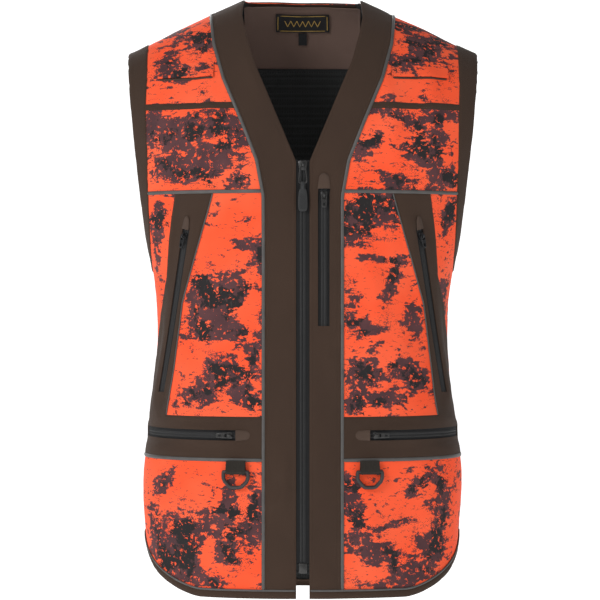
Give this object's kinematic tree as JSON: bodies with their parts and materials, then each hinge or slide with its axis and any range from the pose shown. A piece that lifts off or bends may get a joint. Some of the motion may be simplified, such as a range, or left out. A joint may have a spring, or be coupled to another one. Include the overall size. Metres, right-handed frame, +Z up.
{
  "type": "field vest",
  "caption": "Blaze orange zip-front field vest with brown plackets, five zips, two dee rings and a mesh back lining.",
  "frame": {"origin": "midway between the neck-side ends of the two shoulder seams, at their height, where the shoulders carry it", "axes": "+Z up, the front faces -Y, +X towards the wearer's left"},
  "size_m": [0.4552, 0.2521, 0.785],
  "materials": {
    "orange_cloth": "matte",
    "brown_cloth": "matte",
    "reflective_tape": "satin",
    "zip_tape": "matte",
    "lining_mesh": "matte",
    "label_cloth": "satin",
    "webbing": "matte",
    "dark_plastic": "satin",
    "dark_metal": "satin"
  },
  "bodies": {
    "root": {"front_yoke_left": "orange_cloth", "front_yoke_right": "orange_cloth", "chest_panel_left": "orange_cloth", "chest_panel_right": "orange_cloth", "front_panel_left": "orange_cloth", "front_panel_right": "orange_cloth", "side_panel_left": "orange_cloth", "side_panel_right": "orange_cloth", "skirt_panel_left": "orange_cloth", "skirt_panel_right": "orange_cloth", "shoulder_flap_left": "orange_cloth", "shoulder_flap_right": "orange_cloth", "back_yoke": "orange_cloth", "back_panel": "orange_cloth", "back_skirt": "orange_cloth", "placket_left": "brown_cloth", "placket_right": "brown_cloth", "yoke_tape_left": "brown_cloth", "yoke_tape_right": "brown_cloth", "pocket_panel_left": "brown_cloth", "pocket_panel_right": "brown_cloth", "waist_band_left": "brown_cloth", "waist_band_right": "brown_cloth", "hem_binding_left": "brown_cloth", "hem_binding_right": "brown_cloth", "armhole_band_left": "brown_cloth", "armhole_band_right": "brown_cloth", "back_hem_binding": "brown_cloth", "neck_facing": "brown_cloth", "reflective_strip_left": "reflective_tape", "reflective_strip_right": "reflective_tape", "main_zip_tape_left": "zip_tape", "main_zip_tape_right": "zip_tape", "pocket_zip_tape_left": "zip_tape", "pocket_zip_tape_right": "zip_tape", "waist_zip_tape_left": "zip_tape", "waist_zip_tape_right": "zip_tape", "chest_zip_tape": "zip_tape", "mesh_lining": "lining_mesh", "neck_label": "label_cloth", "size_tag": "label_cloth", "webbing_tab_left": "webbing", "webbing_tab_right": "webbing", "main_zip_box": "dark_plastic"},
    "main_slider": {"main_slider": "dark_metal"},
    "slider_loop": {"slider_loop": "dark_metal"},
    "slider_grip": {"slider_grip": "dark_plastic"},
    "chest_slider": {"chest_slider": "dark_metal"},
    "chest_pull": {"chest_pull": "dark_metal"},
    "pocket_slider_left": {"pocket_slider_left": "dark_metal"},
    "pocket_pull_left": {"pocket_pull_left": "dark_metal"},
    "waist_slider_left": {"waist_slider_left": "dark_metal"},
    "waist_pull_left": {"waist_pull_left": "dark_metal"},
    "dee_ring_left": {"dee_ring_left": "dark_plastic"},
    "pocket_slider_right": {"pocket_slider_right": "dark_metal"},
    "pocket_pull_right": {"pocket_pull_right": "dark_metal"},
    "waist_slider_right": {"waist_slider_right": "dark_metal"},
    "waist_pull_right": {"waist_pull_right": "dark_metal"},
    "dee_ring_right": {"dee_ring_right": "dark_plastic"}
  },
  "joints": [
    {"name": "main_zip_slide", "type": "slide", "parent": "root", "child": "main_slider", "axis": [0, 0, 1], "range_m": [-0.485, 0]},
    {"name": "loop_swing", "type": "hinge", "parent": "main_slider", "child": "slider_loop", "pos_m": [0, -0.1294, -0.2208], "axis": [-1, 0, 0], "range_deg": [0, 120]},
    {"name": "grip_swing", "type": "hinge", "parent": "slider_loop", "child": "slider_grip", "pos_m": [0, -0.1294, -0.2443], "axis": [-1, 0, 0], "range_deg": [0, 60]},
    {"name": "chest_zip_slide", "type": "slide", "parent": "root", "child": "chest_slider", "axis": [0, 0, 1], "range_m": [-0.1544, 0]},
    {"name": "chest_pull_swing", "type": "hinge", "parent": "chest_slider", "child": "chest_pull", "pos_m": [0.02667, -0.12898, -0.259], "axis": [-0.9991, -0.0427, 0], "range_deg": [0, 110]},
    {"name": "pocket_zip_slide_left", "type": "slide", "parent": "root", "child": "pocket_slider_left", "axis": [-0.1584, -0.1906, 0.9688], "range_m": [-0.1957, 0]},
    {"name": "pocket_pull_swing_left", "type": "hinge", "parent": "pocket_slider_left", "child": "pocket_pull_left", "pos_m": [0.15122, -0.0999, -0.30931], "axis": [-0.6995, -0.6709, -0.2463], "range_deg": [0, 100]},
    {"name": "waist_zip_run_left", "type": "hinge", "parent": "root", "child": "waist_slider_left", "pos_m": [0.07611, 0.00686, -0.56], "axis": [0, 0, 1], "range_deg": [0, 68.47]},
    {"name": "waist_pull_swing_left", "type": "hinge", "parent": "waist_slider_left", "child": "waist_pull_left", "pos_m": [0.09283, -0.1221, -0.56], "axis": [0, 0, -1], "range_deg": [0, 100]},
    {"name": "ring_swing_left", "type": "hinge", "parent": "root", "child": "dee_ring_left", "pos_m": [0.08397, -0.12449, -0.6049], "axis": [-0.9834, -0.1816, 0], "range_deg": [0, 120]},
    {"name": "pocket_zip_slide_right", "type": "slide", "parent": "root", "child": "pocket_slider_right", "axis": [0.1584, -0.1906, 0.9688], "range_m": [-0.1957, 0]},
    {"name": "pocket_pull_swing_right", "type": "hinge", "parent": "pocket_slider_right", "child": "pocket_pull_right", "pos_m": [-0.15122, -0.0999, -0.30931], "axis": [-0.6995, 0.6709, 0.2463], "range_deg": [0, 100]},
    {"name": "waist_zip_run_right", "type": "hinge", "parent": "root", "child": "waist_slider_right", "pos_m": [-0.07611, 0.00686, -0.56], "axis": [0, 0, -1], "range_deg": [0, 68.47]},
    {"name": "waist_pull_swing_right", "type": "hinge", "parent": "waist_slider_right", "child": "waist_pull_right", "pos_m": [-0.09283, -0.1221, -0.56], "axis": [0, 0, 1], "range_deg": [0, 100]},
    {"name": "ring_swing_right", "type": "hinge", "parent": "root", "child": "dee_ring_right", "pos_m": [-0.08397, -0.12449, -0.6049], "axis": [-0.9834, 0.1816, 0], "range_deg": [0, 120]}
  ]
}
